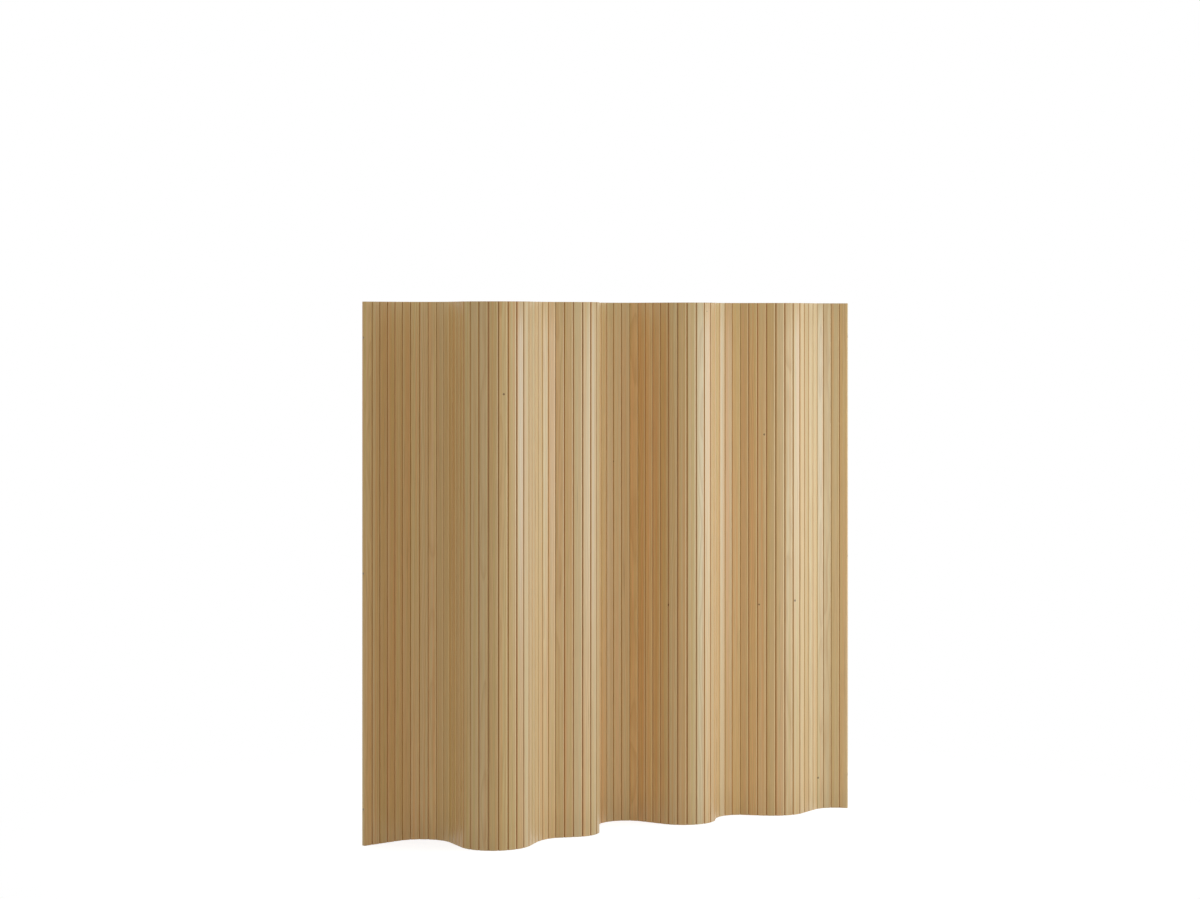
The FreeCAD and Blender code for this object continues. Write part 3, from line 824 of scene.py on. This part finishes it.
def aluminium_material():
    """Crimped aluminium: bright grey, satin, with fine turning marks and a soft cloud of handling wear."""
    material, tree, output = new_material("crimped_aluminium")
    place = add_node(tree, "ShaderNodeAttribute", attribute_name="sleeve").outputs["Vector"]
    scale = [1 / span for span in TURNING_SIZE]
    marks = add_node(tree, "ShaderNodeMapping", {"Vector": place, "Scale": scale}).outputs[0]
    turning = add_node(tree, "ShaderNodeTexNoise", {"Vector": marks, "Scale": 1, "Detail": 3}).outputs["Fac"]
    wear = add_node(tree, "ShaderNodeTexNoise", {"Vector": place, "Scale": 1 / WEAR_SIZE, "Detail": 4})
    cloud = wear.outputs["Fac"]
    colour = add_node(tree, "ShaderNodeMix", {"Factor": cloud, 6: linear("#B4B5B7"), 7: linear("#DADBDD")},
                      data_type="RGBA").outputs[2]
    rough = add_node(tree, "ShaderNodeMapRange", {
        "Value": cloud, "To Min": SLEEVE_BRIGHT, "To Max": SLEEVE_WORN}).outputs[0]
    bump = add_node(tree, "ShaderNodeBump", {
        "Height": turning, "Strength": TURNING_BUMP, "Distance": TURNING_RELIEF}).outputs[0]
    shader = add_node(tree, "ShaderNodeBsdfPrincipled", {
        "Base Color": colour, "Metallic": 1.0, "Roughness": rough, "Normal": bump})
    tree.links.new(shader.outputs[0], output.inputs["Surface"])
    return material


aluminium = aluminium_material()
print(aluminium.name, "has", len(aluminium.node_tree.nodes), "nodes")

# %% Sleeves
SLEEVE_ROUND = 2.85  # mm, radius of the round rims
SLEEVE_MOUTH = 2.7  # mm, where a rim's edge is broken
SLEEVE_FLAT = 2.6  # mm from the axis to a pressed flat
SLEEVE_CORNER = 2.93  # mm from the axis to a corner between two flats
BORE_RADIUS = 0.8  # mm
SLEEVE_SIDES = 48
# The rings of one end: share of the length, radius, and how far the ring is pressed to six flats.
END_RINGS = np.array([(0.0, BORE_RADIUS, 0.0), (0.0, SLEEVE_MOUTH, 0.0), (0.03, SLEEVE_ROUND, 0.0),
                      (0.12, SLEEVE_ROUND, 0.2), (0.2, SLEEVE_ROUND, 1.0)])


def sleeve_surface(start, end):
    """Rings along a closed profile: out along the barrel and back along the bore.

    A barrel ring's radius is a share of the hexagon's, which is the flat's distance over the cosine of the
    angle from the flat's middle, and the rest of a circle's. The hexagon's corners are cut off at a circle.
    """
    other_end = END_RINGS[::-1] * (-1, 1, 1) + (1, 0, 0)
    share, circle, pressed = np.vstack([END_RINGS, other_end]).T[..., None]
    turn = around(SLEEVE_SIDES)
    from_flat = (turn + math.pi / 6) % (math.pi / 3) - math.pi / 6
    hexagon = np.minimum(SLEEVE_FLAT / np.cos(from_flat), SLEEVE_CORNER)
    radius = circle * (1 - pressed) + hexagon * pressed
    points = ringed(start + (end - start) * share[:, 0], radius, turn)
    rows = len(share)
    bore = grid_quads(2, SLEEVE_SIDES)[0]
    bore = np.where(bore >= SLEEVE_SIDES, bore - SLEEVE_SIDES, bore + (rows - 1) * SLEEVE_SIDES)
    return as_surface(points, [*grid_quads(rows, SLEEVE_SIDES).reshape(-1, 4), *bore])


for node, index, start in (("left_ferrules", 0, sleeve_mouth),
                           ("right_ferrules", slat_count - 1, SLAT_PITCH - SEAT_DEPTH)):
    points, corners, sizes = sleeve_surface(start, start + SLEEVE_LENGTH)
    sleeves = stacked([(standing(points + (0, 0, level), index), corners, sizes) for level in WIRE_LEVELS])
    new_piece("crimped_" + node, sleeves, aluminium, body_of[node], node,
              {"sleeve": np.tile(points, (WIRE_LEVELS.size, 1))})

# %% [markdown]
# ## Floor and background
#
# The screen stands on a plain pale floor. To a ray that comes straight from the camera, or by way of a
# gloss, the floor near the screen is a white paper with some light of its own, so the soft shadow stays
# and the rest is white. Further out it is plain white and meets the white world without a line. All other
# rays see only the paper, so the object gets no more light from it than from any pale floor. A brighter
# lamp would whiten the floor too, but it would bleach the wood as well.

# %% White floor
FLOOR_SIZE = 30.0  # m
CLOUD_SIZE = 0.333  # m, faint clouds in the paper
GLOW_COLOUR = "#F5F8FF"
GLOW_STRENGTH = 0.8
SHADOW_NEAR, SHADOW_FAR = 0.9, 1.8  # m from the middle: the shadow fades out between these


def seen_directly(tree):
    """1 for a camera, glossy or transmission ray, 0 for all others: the largest of the three flags."""
    paths = add_node(tree, "ShaderNodeLightPath").outputs
    glossy = add_node(tree, "ShaderNodeMath", {0: paths["Is Camera Ray"], 1: paths["Is Glossy Ray"]},
                      operation="MAXIMUM").outputs[0]
    return add_node(tree, "ShaderNodeMath", {0: glossy, 1: paths["Is Transmission Ray"]},
                    operation="MAXIMUM").outputs[0]


def floor_material():
    """White studio paper: matt, lightly clouded, and white to the eye of the camera."""
    material, tree, output = new_material("studio_paper")
    place = add_node(tree, "ShaderNodeTexCoord").outputs["Object"]
    noise = add_node(tree, "ShaderNodeTexNoise", {"Vector": place, "Scale": 1 / CLOUD_SIZE, "Detail": 2})
    cloud = noise.outputs["Fac"]
    paper = add_node(tree, "ShaderNodeMix", {"Factor": cloud, 6: linear("#C9C7C3"), 7: linear("#CFCDCA")},
                     data_type="RGBA").outputs[2]
    matt = add_node(tree, "ShaderNodeBsdfDiffuse", {"Color": paper}).outputs[0]
    glow = add_node(tree, "ShaderNodeEmission", {"Color": linear(GLOW_COLOUR), "Strength": GLOW_STRENGTH})
    near = add_node(tree, "ShaderNodeAddShader", {0: matt, 1: glow.outputs[0]}).outputs[0]
    white = add_node(tree, "ShaderNodeEmission", {"Strength": 1.0}).outputs[0]
    distance = add_node(tree, "ShaderNodeVectorMath", {0: place}, operation="LENGTH").outputs["Value"]
    fade = add_node(tree, "ShaderNodeMapRange", {
        "Value": distance, "From Min": SHADOW_NEAR, "From Max": SHADOW_FAR}, interpolation_type="SMOOTHSTEP")
    seen = add_node(tree, "ShaderNodeMixShader", {0: fade.outputs[0], 1: near, 2: white}).outputs[0]
    both = add_node(tree, "ShaderNodeMixShader", {0: seen_directly(tree), 1: matt, 2: seen}).outputs[0]
    tree.links.new(both, output.inputs["Surface"])
    return material


half = FLOOR_SIZE / 2
floor_mesh = bpy.data.meshes.new("floor")
floor_mesh.from_pydata([(-half, -half, 0), (half, -half, 0), (half, half, 0), (-half, half, 0)],
                       [], [(0, 1, 2, 3)])
floor_mesh.materials.append(floor_material())
floor = bpy.data.objects.new("floor", floor_mesh)
bpy.context.scene.collection.objects.link(floor)
print("floor", FLOOR_SIZE, "m")

# %% White world
FILL_STRENGTH = 0.54
FILL_COLOUR = "#FFFEE8"  # a room's light, a little warm

world = bpy.data.worlds.new("studio")
bpy.context.scene.world = world
world.use_nodes = True
tree = world.node_tree
tree.nodes.clear()
fill = add_node(tree, "ShaderNodeBackground", {"Color": linear(FILL_COLOUR), "Strength": FILL_STRENGTH})
white = add_node(tree, "ShaderNodeBackground", {"Color": (1, 1, 1, 1), "Strength": 1.0})
shown = add_node(tree, "ShaderNodeMixShader", {
    0: seen_directly(tree), 1: fill.outputs[0], 2: white.outputs[0]}).outputs[0]
add_node(tree, "ShaderNodeOutputWorld", {"Surface": shown})
bpy.context.scene.view_settings.view_transform = "Standard"
print("world fill", FILL_STRENGTH)

# %% [markdown]
# ## Camera
#
# The upright edges stay parallel in the picture, so the camera looks level and the frame is shifted down
# instead of tilted. The horizon lies well above the middle of the picture, and the long lens flattens the
# waves a little.

# %% Camera
IMAGE_SIZE = (1200, 899)
HORIZON_ROW = 326
CAMERA_PLACE = (-3.317, -7.338, 1.4325)
VIEW_TURN = 23.82  # degrees from +Y towards +X
LENS = 85.0  # mm
SENSOR_WIDTH = 36.0  # mm

camera_data = bpy.data.cameras.new("camera")
camera_data.lens = LENS
camera_data.sensor_width = SENSOR_WIDTH
camera_data.shift_y = (HORIZON_ROW - IMAGE_SIZE[1] / 2) / IMAGE_SIZE[0]
camera = bpy.data.objects.new("camera", camera_data)
camera.location = CAMERA_PLACE
camera.rotation_euler = (math.radians(90), 0, -math.radians(VIEW_TURN))
bpy.context.scene.collection.objects.link(camera)
bpy.context.scene.camera = camera
print("camera shift", round(camera_data.shift_y, 4))

# %% [markdown]
# ## Light
#
# A large soft light, cool as daylight, stands far to the right, side-on to the view and a little above the
# middle of the screen. The stretches that face right catch it, with the sheen of the lacquer, and those
# that face left are about half as bright. A small light close to the right end lifts that end a little.
# The even world fills the shadows, and light that bounces between the folds turns warm by itself, because
# every bounce takes the colour of the wood once more. One lamp at the camera would be simpler, but it
# would flatten the waves.

# %% Soft lights
LIGHT_AIM = Vector((0, 0, 0.8))  # m, about the middle of the screen

ahead = Vector((math.sin(math.radians(VIEW_TURN)), math.cos(math.radians(VIEW_TURN)), 0))
to_right = Vector((ahead.y, -ahead.x, 0))


def soft_light(name, right, back, height, size, power, colour):
    """A square area light, placed by metres to the right of the screen and back towards the camera."""
    lamp = bpy.data.lights.new(name, "AREA")
    lamp.size = size
    lamp.energy = power
    lamp.color = linear(colour)[:3]
    light = bpy.data.objects.new(name, lamp)
    light.location = to_right * right - ahead * back + Vector((0, 0, height))
    light.rotation_euler = (LIGHT_AIM - light.location).to_track_quat("-Z", "Y").to_euler()
    bpy.context.scene.collection.objects.link(light)


soft_light("key", right=6.0, back=0.0, height=1.1, size=1.6, power=94, colour="#C8E7FF")
soft_light("near_fill", right=1.9, back=0.6, height=1.0, size=1.0, power=8, colour="#EFF7FF")
